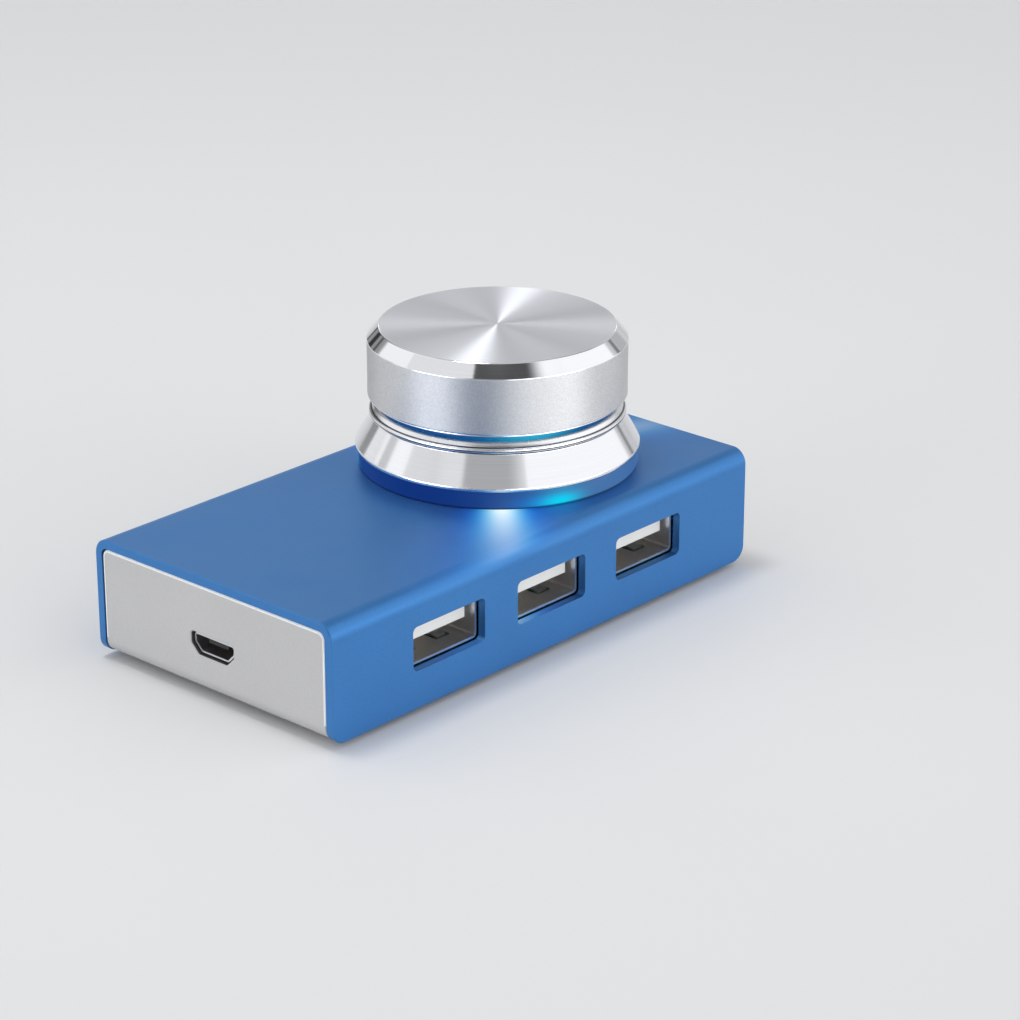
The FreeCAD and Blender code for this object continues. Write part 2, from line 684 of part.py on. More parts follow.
def rubber_feet():
    """Four pads stuck under the tray's floor."""
    radius, bevel, height = dims.foot_radius, dims.foot_bevel, tray_bottom
    feet = []
    for index, (x, y) in enumerate(corners(half_length - dims.foot_from_end, half_width - dims.foot_from_side)):
        foot = new_body(f"foot_{index + 1}", x, y)
        revolve(foot, [(0, 0), (radius - bevel, 0), (radius, bevel), (radius, height), (0, height)])
        feet.append(foot)
    return group("rubber_feet", feet)


# ---- screws, nuts and spacers ---------------------------------------------------------------------

def screw(label, x, y, head_bottom, length):
    """An M2 pan-head screw that points up, with a cross recess under its head."""
    head, shank, head_height = dims.screw_head_radius, dims.screw_radius, dims.screw_head_height
    bevel = dims.screw_head_bevel
    body = new_body(f"{label}_turned", x, y, head_bottom)
    revolve(body, [(0, 0), (head - bevel, 0), (head, bevel), (head, head_height), (shank, head_height),
                   (shank, head_height + length), (0, head_height + length)])
    recess = fuse(f"{label}_recess", [
        centred_box(f"{label}_slot_{index}", x, y, head_bottom - dims.screw_slot_depth,
                    *sides, dims.screw_slot_depth * 2)
        for index, sides in enumerate([(dims.screw_slot_length, dims.screw_slot_width),
                                       (dims.screw_slot_width, dims.screw_slot_length)])])
    return cut(label, body, recess)


def tray_screws():
    """Four screws up through the tray, the spacers, the main board and the nuts."""
    length = board_top + dims.nut_height + dims.screw_end - tray_bottom
    bottom = tray_bottom - dims.screw_head_height
    return group("tray_screws", [screw(f"tray_screw_{index + 1}", x, y, bottom, length)
                                 for index, (x, y) in enumerate(screw_places())])


def roof_screws():
    """Three screws up through the roof into the light ring's bosses."""
    length = dims.case_wall + dims.boss_screw_reach
    bottom = roof_inside - dims.screw_head_height
    return group("roof_screws", [screw(f"roof_screw_{index + 1}", *about_axis(boss_circle, angle),
                                       bottom, length) for index, angle in enumerate(BOSS_ANGLES)])


def drilled(label, blank, x, y, z0, radius, height):
    """A blank with a round hole through it."""
    return cut(label, blank, cylinder(f"{label}_hole", x, y, z0 - height, radius, height * 3))


def board_spacers():
    """Four round spacers between the tray and the main board."""
    spacers = []
    for index, (x, y) in enumerate(screw_places()):
        blank = cylinder(f"spacer_{index + 1}_blank", x, y, tray_top, dims.spacer_radius, dims.spacer_height)
        spacers.append(drilled(f"spacer_{index + 1}", blank, x, y, tray_top, screw_hole, dims.spacer_height))
    return group("board_spacers", spacers)


def board_nuts():
    """Four M2 nuts on the main board."""
    nuts = []
    for index, (x, y) in enumerate(screw_places()):
        blank = hexagon(f"nut_{index + 1}_blank", x, y, board_top, dims.nut_flats, dims.nut_height)
        nuts.append(drilled(f"nut_{index + 1}", blank, x, y, board_top,
                            dims.screw_radius + dims.thread_gap, dims.nut_height))
    return group("board_nuts", nuts)


# ---- main board and its parts ---------------------------------------------------------------------

def main_board():
    body = new_body("main_board", z=board_bottom)
    plan = new_sketch(body, "XY_Plane")
    half = half_width - dims.case_wall - dims.board_side_gap
    rounded_rectangle(plan, -board_half_length, -half, board_half_length, half, dims.board_round)
    for x, y in screw_places():
        circle(plan, x, y, screw_hole)
    pad(body, plan, dims.board_thick)
    return body


def chip(label, x, y, length, width, height):
    """A chip with a row of legs along each long side."""
    parts = [centred_box(f"{label}_case", x, y, board_top + dims.leg_thick / 2, length, width,
                         height - dims.leg_thick / 2)]
    legs = int(length.value // dims.leg_pitch.value)
    for index in range(legs):
        leg_x = x + dims.leg_pitch * (index - (legs - 1) / 2)
        parts.append(centred_box(f"{label}_leg_{index + 1}", leg_x, y, board_top, dims.leg_width,
                                 width + dims.leg_length * 2, dims.leg_thick))
    return fuse(label, parts)


def crystal():
    """A low metal can with round ends."""
    body = new_body("crystal", board_near_end + dims.crystal_from_end, dims.crystal_y, board_top)
    plan = new_sketch(body, "XY_Plane")
    x, y = dims.crystal_long / 2, dims.crystal_wide / 2
    straight = x - y
    outline(plan, [(-straight, -y), (straight, -y, (x, 0)), (straight, y), (-straight, y, (-x, 0))])
    pad(body, plan, dims.crystal_high)
    return body


def can_capacitors():
    cans = []
    for index, (from_end, y) in enumerate(CAN_PLACES):
        x = board_near_end + from_end
        base = centred_box(f"can_base_{index + 1}", x, as_size(y), board_top, dims.can_base,
                           dims.can_base, dims.can_base_height)
        can = cylinder(f"can_{index + 1}", x, y, board_top, dims.can_radius, dims.can_height)
        cans.append(fuse(f"can_capacitor_{index + 1}", [base, can]))
    return group("can_capacitors", cans)


def chip_parts():
    """Chip resistors and capacitors soldered to the main board."""
    return group("chip_parts", [
        centred_box(f"chip_part_{index + 1}", board_near_end + from_end, as_size(y), board_top,
                    dims.chip_part_long, dims.chip_part_wide, dims.chip_part_high)
        for index, (from_end, y) in enumerate(CHIP_PART_PLACES)])


# ---- USB-A sockets --------------------------------------------------------------------------------

def usb_a_shell(number, x):
    """A drawn steel tube with two spring fingers in its roof and two in its floor."""
    sheet, width, height = dims.port_sheet, dims.port_width / 2, dims.port_height
    body = new_body(f"usb_a_shell_{number}", x, port_mouth, board_top)
    section = new_sketch(body, "XZ_Plane")
    rounded_rectangle(section, -width, 0, width, height, dims.port_round + sheet)
    rounded_rectangle(section, sheet - width, sheet, width - sheet, height - sheet, dims.port_round)
    pad(body, section, dims.port_depth, reverse=True)

    root = dims.port_depth - dims.block_depth - dims.finger_root_gap
    low = dims.finger_tip - dims.finger_slot
    for offset in (height, sheet * 1.5):
        slots = new_sketch(body, "XY_Plane", offset=offset)
        for side in (-1, 1):
            centre = dims.finger_place * side
            reach = dims.finger_width / 2 + dims.finger_slot
            rectangle(slots, centre - reach, low, centre + reach, root)
        pocket(body, slots, sheet * 1.5)

    bend, tip, dip, curl = dims.finger_bend, dims.finger_tip, dims.finger_dip, dims.finger_curl
    leaf = [(root + sheet, 0), (root + sheet, sheet), (root, sheet), (bend, sheet + dip),
            (tip, sheet + dip - curl), (tip, dip - curl), (bend, dip), (root, 0)]
    for side in (-1, 1):
        fingers = new_sketch(body, "YZ_Plane", offset=dims.finger_place * side - dims.finger_width / 2)
        outline(fingers, leaf)
        outline(fingers, [(y, height - z) for y, z in leaf])
        pad(body, fingers, dims.finger_width)
    return body


def usb_a_contacts(number, x):
    """Four gold strips under the tongue, bent down behind the block to the main board."""
    strips = []
    level = board_top + dims.port_height - dims.port_sheet - dims.tongue_drop - dims.tongue_thick
    front = port_mouth + dims.tongue_setback + dims.contact_setback
    back = port_mouth + dims.port_depth
    sheet, width = dims.contact_sheet, dims.contact_width
    offsets = [-dims.contact_outer, -dims.contact_inner, dims.contact_inner, dims.contact_outer]
    for index, offset in enumerate(offsets):
        left = x + offset - width / 2
        name = f"usb_a_contact_{number}_{index + 1}"
        strips.append(fuse(name, [
            box(f"{name}_strip", left, front, level, width, back + sheet - front, sheet),
            box(f"{name}_tail", left, back, board_top, width, sheet, level + sheet - board_top)]))
    return group(f"usb_a_contacts_{number}", strips)


def usb_a_tongue(number, x, contacts):
    """The insulator: a block that fills the shell's back, and the tongue with its strips let in."""
    sheet, width, height = dims.port_sheet, dims.port_width / 2, dims.port_height
    body = new_body(f"usb_a_insulator_{number}", x, port_mouth, board_top)
    back = new_sketch(body, "XZ_Plane", offset=dims.block_depth - dims.port_depth)
    rounded_rectangle(back, sheet - width, sheet, width - sheet, height - sheet, dims.port_round)
    pad(body, back, dims.block_depth, reverse=True)
    tongue = new_sketch(body, "XZ_Plane", offset=-dims.tongue_setback)
    top = height - sheet - dims.tongue_drop
    rectangle(tongue, -dims.tongue_width / 2, top - dims.tongue_thick, dims.tongue_width / 2, top)
    pad(body, tongue, dims.port_depth - dims.block_depth - dims.tongue_setback, reverse=True)
    return cut(f"usb_a_tongue_{number}", body, contacts)


# ---- micro-USB socket -----------------------------------------------------------------------------

micro_mouth = dims.micro_recess - end_plate
micro_back = micro_mouth + dims.micro_depth
micro_tongue_bottom = dims.micro_height - dims.micro_sheet - dims.micro_tongue_drop - dims.micro_tongue_thick


def micro_usb_shell():
    body = new_body("micro_usb_shell", micro_mouth, 0, board_top)
    section = new_sketch(body, "YZ_Plane")
    micro_outline(section, as_size(0), as_size(0))
    micro_outline(section, -dims.micro_sheet, as_size(0))
    pad(body, section, dims.micro_depth)

    def outside(edge):
        point = middle(edge)
        return (near(abs(point.y), dims.micro_width / 2) or near(point.z, 0)
                or near(point.z, dims.micro_height))
    round_micro_edges(body, dims.micro_round + dims.micro_sheet, outside)
    round_micro_edges(body, dims.micro_round, lambda edge: not outside(edge))
    return body


def micro_usb_contacts():
    """Five strips under the micro-USB tongue, bent down behind the block."""
    strips = []
    level = board_top + micro_tongue_bottom
    front = micro_mouth + dims.micro_tongue_setback * 1.5
    sheet, width = dims.micro_contact_sheet, dims.micro_contact_width
    for index in range(MICRO_CONTACT_COUNT):
        side = dims.micro_contact_pitch * (index - (MICRO_CONTACT_COUNT - 1) / 2) - width / 2
        name = f"micro_usb_contact_{index + 1}"
        strips.append(fuse(name, [
            box(f"{name}_strip", front, side, level, micro_back + sheet - front, width, sheet),
            box(f"{name}_tail", micro_back, side, board_top, sheet, width, level + sheet - board_top)]))
    return group("micro_usb_contacts", strips)


def micro_usb_tongue(contacts):
    body = new_body("micro_usb_insulator", micro_mouth, 0, board_top)
    back = new_sketch(body, "YZ_Plane", offset=dims.micro_depth - dims.micro_block_depth)
    micro_outline(back, -dims.micro_sheet, as_size(0))
    pad(body, back, dims.micro_block_depth)
    round_micro_edges(body, dims.micro_round)
    tongue = new_sketch(body, "YZ_Plane", offset=dims.micro_tongue_setback)
    side, bottom = dims.micro_tongue_width / 2, micro_tongue_bottom
    rectangle(tongue, -side, bottom, side, bottom + dims.micro_tongue_thick)
    pad(body, tongue, dims.micro_depth - dims.micro_block_depth - dims.micro_tongue_setback)
    return cut("micro_usb_tongue", body, contacts)


# ---- rotary encoder -------------------------------------------------------------------------------

def encoder_base():
    """Square block with a round room for the code wheel and a well for the switch plunger."""
    body = new_body("encoder_base", *knob_axis, board_top)
    half = dims.encoder_side / 2
    plan = new_sketch(body, "XY_Plane")
    rounded_rectangle(plan, -half, -half, half, half, dims.encoder_round)
    pad(body, plan, encoder_height)
    for radius, floor in ((dims.rotor_radius + dims.rotor_gap, dims.rotor_floor),
                          (dims.plunger_radius + dims.plunger_gap, dims.switch_floor)):
        room = new_sketch(body, "XY_Plane", offset=encoder_height)
        circle(room, 0, 0, radius)
        pocket(body, room, encoder_height - floor)
    return body


def encoder_bushing():
    """Cast plate that closes the base, with the threaded neck that the shaft runs in."""
    body = new_body("encoder_bushing", *knob_axis, encoder_top)
    half = dims.encoder_side / 2
    plate = new_sketch(body, "XY_Plane")
    rounded_rectangle(plate, -half, -half, half, half, dims.encoder_round)
    pad(body, plate, dims.encoder_plate)
    neck = new_sketch(body, "XY_Plane")
    circle(neck, 0, 0, dims.neck_radius)
    neck_top = case_top + dims.washer_thick + dims.panel_nut_height + dims.neck_end - encoder_top
    pad(body, neck, neck_top)
    bore = new_sketch(body, "XY_Plane", offset=neck_top)
    circle(bore, 0, 0, dims.shaft_radius + dims.running_gap)
    pocket(body, bore, neck_top)
    return body


def encoder_clip():
    """Steel strap over the bushing's plate and down both sides of the encoder."""
    sheet, half = dims.clip_sheet, dims.encoder_side / 2
    body = new_body("encoder_clip", *knob_axis, board_top)
    top = plate_top - board_top
    strap = new_sketch(body, "XZ_Plane")
    outline(strap, [(half, 0), (half, top), (-half, top), (-half, 0), (-half - sheet, 0),
                    (-half - sheet, top + sheet), (half + sheet, top + sheet), (half + sheet, 0)])
    pad(body, strap, dims.clip_width, midplane=True)
    hole = new_sketch(body, "XY_Plane", offset=top + sheet)
    circle(hole, 0, 0, dims.neck_radius + dims.panel_hole_gap)
    pocket(body, hole, sheet * 1.5)
    return body


def encoder_terminals():
    """Three terminals in front of the base and two behind it, soldered to the main board."""
    reach = dims.encoder_side / 2
    terminals = []
    for side, count in ((-1, 3), (1, 2)):
        for index in range(count):
            x = knob_x + dims.terminal_pitch * (index - (count - 1) / 2)
            y = knob_y + (reach + dims.terminal_length / 2) * side
            terminals.append(centred_box(f"terminal_{len(terminals) + 1}", x, y, board_top,
                                         dims.terminal_width, dims.terminal_length, dims.terminal_thick))
    return group("encoder_terminals", terminals)


def encoder_rotor():
    """Code wheel with the D-shaped hole that the shaft drives and slides through."""
    wheel = cylinder("encoder_wheel", *knob_axis, rotor_bottom, dims.rotor_radius, dims.rotor_thick)
    hole = d_rod("encoder_wheel_hole", rotor_bottom - dims.rotor_thick, dims.drive_radius + dims.running_gap,
                 dims.drive_flat + dims.running_gap, dims.rotor_thick * 3)
    return cut("encoder_rotor", wheel, hole)


def encoder_shaft():
    """Steel shaft: flat drive end, stop ring under the bushing's plate, and flat upper end."""
    drive = d_rod("shaft_drive", drive_bottom, dims.drive_radius, dims.drive_flat, stop_bottom - drive_bottom)
    stop = cylinder("shaft_stop", *knob_axis, stop_bottom, dims.shaft_stop_radius, dims.shaft_stop_thick)
    flat_bottom = shaft_tip - dims.shaft_flat_length
    rod = cylinder("shaft_rod", *knob_axis, stop_top, dims.shaft_radius, flat_bottom - stop_top)
    tip = d_rod("shaft_tip", flat_bottom, dims.shaft_radius, dims.shaft_flat, dims.shaft_flat_length)
    return fuse("encoder_shaft", [drive, stop, rod, tip])


def switch_plunger():
    bottom = drive_bottom - dims.running_gap - dims.plunger_length
    return cylinder("switch_plunger", *knob_axis, bottom, dims.plunger_radius, dims.plunger_length)


# ---- parts that clamp the encoder to the roof -----------------------------------------------------

def spacer_sleeve():
    """Fills the height between the encoder's clip and the roof."""
    height = roof_inside - sleeve_bottom
    blank = cylinder("sleeve_blank", *knob_axis, sleeve_bottom, dims.sleeve_radius, height)
    return drilled("spacer_sleeve", blank, *knob_axis, sleeve_bottom,
                   dims.neck_radius + dims.panel_hole_gap, height)


def panel_washer():
    blank = cylinder("washer_blank", *knob_axis, case_top, dims.washer_radius, dims.washer_thick)
    return drilled("panel_washer", blank, *knob_axis, case_top, dims.neck_radius + dims.panel_hole_gap,
                   dims.washer_thick)


def panel_nut():
    bottom = case_top + dims.washer_thick
    blank = hexagon("panel_nut_blank", *knob_axis, bottom, dims.panel_nut_flats, dims.panel_nut_height)
    return drilled("panel_nut", blank, *knob_axis, bottom, dims.neck_radius + dims.thread_gap,
                   dims.panel_nut_height)


# ---- knob foot: light ring, light board and skirt -------------------------------------------------

def light_ring():
    """Clear guide: a rim on the roof, a collar up into the cap, and three screw bosses inside."""
    rim = skirt_radius - dims.ring_inset
    body = new_body("light_ring", *knob_axis, case_top)
    revolve(body, [(collar_inside, 0), (rim, 0), (rim, dims.ring_height), (collar_radius, dims.ring_height),
                   (collar_radius, collar_top - case_top), (collar_inside, collar_top - case_top)])
    bosses = new_sketch(body, "XY_Plane")
    for angle in BOSS_ANGLES:
        circle(bosses, *on_circle(boss_circle, angle), dims.boss_radius)
    depth = dims.boss_screw_reach + dims.boss_hole_end
    pad(body, bosses, depth + dims.boss_cover)
    holes = new_sketch(body, "XY_Plane", offset=depth)
    for angle in BOSS_ANGLES:
        circle(holes, *on_circle(boss_circle, angle), dims.screw_radius + dims.thread_gap)
    pocket(body, holes, depth)
    return body


def light_board():
    bore = dims.panel_nut_flats / math.sqrt(3) + dims.nut_room
    blank = cylinder("light_board_blank", *knob_axis, case_top, light_board_radius, dims.light_board_thick)
    return drilled("light_board", blank, *knob_axis, case_top, bore, dims.light_board_thick)


def lamps():
    """Light-emitting diodes on the light board, each a block with a round lens."""
    bottom = case_top + dims.light_board_thick
    members = []
    for index, degrees in enumerate(LAMP_ANGLES):
        x, y = about_axis(light_board_radius - dims.lamp_inset, degrees)
        block = turn(doc.addObject("Part::Box", f"lamp_block_{index + 1}"), degrees)
        bind(block, "Length", dims.lamp_wide)
        bind(block, "Width", dims.lamp_long)
        bind(block, "Height", dims.lamp_high - dims.leg_thick)
        shift_x, shift_y = dims.lamp_wide / 2, dims.lamp_long / 2
        cosine, sine = math.cos(math.radians(degrees)), math.sin(math.radians(degrees))
        place(block, x - shift_x * cosine + shift_y * sine, y - shift_x * sine - shift_y * cosine, bottom)
        lens = cylinder(f"lamp_lens_{index + 1}", x, y, bottom, dims.lamp_window, dims.lamp_high)
        members.append(fuse(f"lamp_{index + 1}", [block, lens]))
    return group("lamps", members)


def header_places():
    x, y = about_axis(header_circle, 90)
    return [(x + dims.header_pitch * step, y) for step in (-1, 0, 1)]


def header_pins():
    """Three pins from the main board up through the roof's slot to the light board."""
    return group("header_pins", [
        centred_box(f"header_pin_{index + 1}", x, y, board_top, dims.header_pin, dims.header_pin,
                    case_top - board_top) for index, (x, y) in enumerate(header_places())])


def header_strip(pins):
    x, y = about_axis(header_circle, 90)
    blank = centred_box("header_blank", x, y, board_top, dims.header_pitch * 3, dims.header_strip,
                        dims.header_strip)
    return cut("header_strip", blank, pins)


def skirt_ring():
    """Turned ring: upright foot, flare, cove, bead and a sloping shelf up to the collar."""
    bore = collar_radius + dims.running_gap
    outer, foot = skirt_radius, dims.skirt_foot
    cove = collar_radius + dims.cove_reach
    bead = cove + dims.bead_reach
    cove_top = dims.cove_height + dims.bead_slope
    bead_bottom = cove_top + dims.bead_slope
    bead_top = bead_bottom + dims.bead_height
    body = new_body("skirt_ring", *knob_axis, ring_top)
    revolve(body, [(bore, 0), (outer, 0), (outer, foot), (cove, dims.cove_height), (cove, cove_top),
                   (bead, bead_bottom), (bead, bead_top), (cove, bead_top + dims.bead_slope),
                   (bore, dims.skirt_height)])

    def on_bead(edge):
        height = middle(edge).z
        return (edge.Curve.TypeId == "Part::GeomCircle" and near(edge.Curve.Radius, bead)
                and (near(height, bead_bottom) or near(height, bead_top)))
    dress(body, "Fillet", dims.bead_round, on_bead)
    return body


# ---- knob -----------------------------------------------------------------------------------------

def knob_cap():
    """Turned cap: bevelled edges, a room for the collar and a hub with a blind bore."""
    drop, height = dims.hub_drop, dims.hub_drop + dims.cap_height
    side, foot = dims.cap_radius, dims.cap_foot_bevel
    inner = side - dims.cap_wall
    body = new_body("knob_cap", *knob_axis, hub_bottom)
    revolve(body, [(0, height), (0, height - dims.hub_ceiling), (dims.hub_bore, height - dims.hub_ceiling),
                   (dims.hub_bore, 0), (dims.hub_radius, 0), (dims.hub_radius, height - dims.cap_roof),
                   (inner, height - dims.cap_roof), (inner, drop), (side - foot, drop),
                   (side, drop + foot), (side, height - dims.cap_bevel_drop),
                   (side - dims.cap_bevel_reach, height)])
    return body


def knob_insert():
    """Bush pressed into the hub, with a D-shaped bore for the shaft."""
    bush = cylinder("insert_blank", *knob_axis, hub_bottom, dims.hub_bore - dims.insert_gap,
                    insert_top - hub_bottom)
    bore = d_rod("insert_bore", hub_bottom - dims.hub_bore, dims.shaft_radius + dims.shaft_fit,
                 dims.shaft_flat + dims.shaft_fit, insert_top - dims.insert_roof - hub_bottom + dims.hub_bore)
    return cut("knob_insert", bush, bore)


# ---- the whole ------------------------------------------------------------------------------------

def build():
    pieces = [housing_shell(), base_tray(), rubber_feet(), tray_screws(), board_spacers(), board_nuts(),
              main_board(), crystal(), can_capacitors(), chip_parts()]
    pieces.append(chip("hub_chip", board_near_end + dims.hub_chip_from_end, dims.hub_chip_y,
                       dims.hub_chip_long, dims.hub_chip_wide, dims.hub_chip_high))
    pieces.append(chip("controller_chip", board_near_end + dims.controller_from_end, dims.controller_y,
                       dims.controller_long, dims.controller_wide, dims.controller_high))
    for index in range(PORT_COUNT):
        x = dims.port_pitch * (index - (PORT_COUNT - 1) / 2)
        contacts = usb_a_contacts(index + 1, x)
        pieces += [usb_a_shell(index + 1, x), contacts, usb_a_tongue(index + 1, x, contacts)]
    micro_contacts = micro_usb_contacts()
    pieces += [micro_usb_shell(), micro_contacts, micro_usb_tongue(micro_contacts)]
    pieces += [encoder_base(), encoder_bushing(), encoder_clip(), encoder_terminals(), encoder_rotor(),
               encoder_shaft(), switch_plunger(), spacer_sleeve(), panel_washer(), panel_nut()]
    pins = header_pins()
    pieces += [light_ring(), light_board(), lamps(), pins, header_strip(pins), roof_screws(), skirt_ring(),
               knob_cap(), knob_insert()]
    return pieces


def check(pieces):
    """Stops before anything is written if an object failed or a piece is not sound."""
    for thing in doc.Objects:
        if "Invalid" in thing.State or "Error" in thing.State:
            raise RuntimeError(f"{thing.Label}: {thing.State}")
    for piece in pieces:
        if piece.Shape.isNull() or not piece.Shape.isValid() or not piece.Shape.Solids:
            raise RuntimeError(f"{piece.Label}: no sound shape")


pieces = build()
doc.recompute()
check(pieces)
os.makedirs("parts", exist_ok=True)
for piece in pieces:
    piece.Shape.exportStep(f"parts/{piece.Label}.step")
    print(f"{piece.Label}: {len(piece.Shape.Solids)} solid(s), {piece.Shape.Volume:.1f} mm3")
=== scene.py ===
import json
import math

import bmesh
import bpy
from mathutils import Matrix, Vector


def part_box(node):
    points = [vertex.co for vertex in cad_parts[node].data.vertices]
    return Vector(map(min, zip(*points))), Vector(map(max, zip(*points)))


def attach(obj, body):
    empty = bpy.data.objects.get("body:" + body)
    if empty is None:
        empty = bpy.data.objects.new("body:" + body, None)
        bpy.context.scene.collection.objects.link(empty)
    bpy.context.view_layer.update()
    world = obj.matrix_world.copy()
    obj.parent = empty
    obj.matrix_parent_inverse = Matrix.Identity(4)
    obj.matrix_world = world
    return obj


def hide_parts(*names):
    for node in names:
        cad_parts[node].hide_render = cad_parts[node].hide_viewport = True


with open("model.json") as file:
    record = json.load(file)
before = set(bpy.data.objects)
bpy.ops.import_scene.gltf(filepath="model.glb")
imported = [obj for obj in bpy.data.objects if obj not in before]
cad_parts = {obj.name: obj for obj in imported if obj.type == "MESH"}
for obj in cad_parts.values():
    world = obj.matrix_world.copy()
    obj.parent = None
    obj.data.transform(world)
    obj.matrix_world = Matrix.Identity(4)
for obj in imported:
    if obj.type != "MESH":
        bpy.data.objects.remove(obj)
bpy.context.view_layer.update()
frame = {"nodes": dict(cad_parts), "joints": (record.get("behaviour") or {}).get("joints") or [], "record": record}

MM = 0.001                      # the frame is in metres


# ---- places read from the frame -------------------------------------------------------------------

knob_joint = next(joint for joint in frame["joints"] if joint["name"] == "knob_turn")
KNOB_X, KNOB_Y = knob_joint["pos_m"][:2]
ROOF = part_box("light_ring")[0].z                    # top face of the housing, which carries the light ring
RING_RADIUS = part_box("light_ring")[1].x - KNOB_X

# the camera that sees the object as the photograph does
VIEW_AZIMUTH = math.radians(-47.977)
VIEW_ELEVATION = math.radians(21.962)
CAMERA_PLACE = Vector((-305.86, -290.09, 184.63)) * MM
FOCAL_PIXELS = 3319.9
FRAME_PIXELS = 1020
SENSOR = 36.0

# the lamps behind the light ring: their directions from the knob's axis, how strongly each paints the steel blue
# beside it in the ring, which is partly lamp glow and partly a painted reflection of the soft box, and how much of
# its light gets out onto the roof
LAMP_DIRECTIONS = [math.radians(turn) for turn in (8, 128, 248)]
HALO_GLOW_AND_REFLECTION = [1.0, 0.1, 1.0]
ROOF_LEAKS = [0.25, 1.0, 1.0]


# ---- node trees -----------------------------------------------------------------------------------

class Tree:
    """A node tree that is written as nested calls. A value may be a plain number or another socket."""

    def __init__(self, tree):
        self.tree = tree
        tree.nodes.clear()

    def add(self, kind, inputs=None, output=0, **settings):
        node = self.tree.nodes.new(kind)
        for name, value in settings.items():
            setattr(node, name, value)
        for name, value in (inputs or {}).items():
            self.feed(node.inputs[name], value)
        return node.outputs[output] if len(node.outputs) else node

    def feed(self, socket, value):
        if isinstance(value, bpy.types.NodeSocket):
            self.tree.links.new(value, socket)
        else:
            socket.default_value = value

    def math(self, operation, *values):
        return self.add("ShaderNodeMath", dict(enumerate(values)), operation=operation)

    def vector(self, operation, *values, output=0):
        return self.add("ShaderNodeVectorMath", dict(enumerate(values)), output, operation=operation)

    def place(self):
        """Where the point lies in its object's own frame, in metres."""
        return self.add("ShaderNodeTexCoord", output="Object")

    def normal(self):
        return self.add("ShaderNodeTexCoord", output="Normal")

    def part(self, vector, axis):
        """One of a vector's three numbers."""
        return self.add("ShaderNodeSeparateXYZ", {"Vector": vector}, axis)

    def step(self, value, low, high, out_low=0.0, out_high=1.0):
        """A soft step from out_low at low to out_high at high."""
        return self.add("ShaderNodeMapRange", {"Value": value, "From Min": low, "From Max": high,
                                               "To Min": out_low, "To Max": out_high},
                        interpolation_type="SMOOTHSTEP")

    def uneven(self, noise, value, spread):
        """A value that wanders by its spread as a noise does."""
        return self.step(noise, 0.3, 0.7, value - spread, value + spread)

    def blend(self, share, first, second):
        """A colour that goes from first to second."""
        return self.add("ShaderNodeMix", {"Factor": share, 6: first, 7: second}, 2, data_type="RGBA")

    def noise(self, place, per_metre, detail=2.0):
        return self.add("ShaderNodeTexNoise", {"Vector": place, "Scale": per_metre, "Detail": detail})

    def bump(self, height, distance):
        return self.add("ShaderNodeBump", {"Height": height, "Distance": distance, "Strength": 1.0})

    def surface(self, **inputs):
        """Closes the tree with one Principled surface."""
        named = {name.replace("_", " "): value for name, value in inputs.items()}
        shader = self.add("ShaderNodeBsdfPrincipled", named)
        self.add("ShaderNodeOutputMaterial", {"Surface": shader})


def new_material(name):
    material = bpy.data.materials.new(name)
    material.use_nodes = True
    return material, Tree(material.node_tree)


def colour(red, green, blue):
    """A colour written as it shows on a screen, 0 to 255, as the linear value that shaders take."""
    linear = [((c / 255 + 0.055) / 1.055) ** 2.4 if c > 10 else c / 255 / 12.92 for c in (red, green, blue)]
    return (*linear, 1.0)


# ---- light of the lamps behind the ring -----------------------------------------------------------

def from_axis(tree):
    """The level way from the knob's axis to the point."""
    return tree.vector("MULTIPLY", tree.vector("SUBTRACT", tree.place(), (KNOB_X, KNOB_Y, 0.0)),
                       (1.0, 1.0, 0.0))


def nearness(tree, offset, sharpness, weights=(1.0, 1.0, 1.0)):
    """How near a point lies to a lamp, seen round the knob's axis: 1 at the lamp plus an offset in degrees,
    and 0 far away."""
    out = tree.vector("NORMALIZE", from_axis(tree))
    total = 0.0
    for direction, weight in zip(LAMP_DIRECTIONS, weights):
        angle = direction + math.radians(offset)
        towards = tree.vector("DOT_PRODUCT", out, (math.cos(angle), math.sin(angle), 0.0), output="Value")
        spot = tree.math("POWER", tree.math("MAXIMUM", towards, 0.0), sharpness)
        total = tree.math("MULTIPLY_ADD", spot, weight, total)
    return total


BEAM_OFFSET = -24               # degrees from a lamp to the beam that it throws on the roof

# level at the ring's foot, sharpness and reach of a beam's red, green and blue light
BEAM_COLOURS = [(0.85, 270.0, 8.3 * MM), (0.97, 126.0, 10.0 * MM), (0.85, 55.0, 16.0 * MM)]


def pools_of_light(tree):
    """Light that gets out under the skirt and lies on the roof as beams, white in the middle and blue at the
    sides."""
    beyond = tree.math("SUBTRACT", tree.vector("LENGTH", from_axis(tree), output="Value"), RING_RADIUS)
    beams = []
    for level, sharpness, reach in BEAM_COLOURS:
        beam = nearness(tree, BEAM_OFFSET, sharpness, ROOF_LEAKS)
        fade = tree.math("EXPONENT", tree.math("DIVIDE", beyond, -reach))
        beams.append(tree.math("MULTIPLY", tree.math("MULTIPLY", beam, fade), level))
    light = tree.add("ShaderNodeCombineXYZ", dict(zip("XYZ", beams)))
    return tree.vector("MULTIPLY", light, tree.step(tree.part(tree.normal(), "Z"), 0.3, 0.9))


# ---- materials ------------------------------------------------------------------------------------

def blasting(tree, place, grain_per_metre):
    """The clouds and the even grain of bead blasting, and the tone that they give together."""
    cloud = tree.noise(place, 90, 3.0)
    grain = tree.noise(place, grain_per_metre, 1.0)
    tone = tree.math("MULTIPLY_ADD", tree.step(grain, 0.35, 0.65), 0.35, tree.math("MULTIPLY", cloud, 0.65))
    return cloud, grain, tone


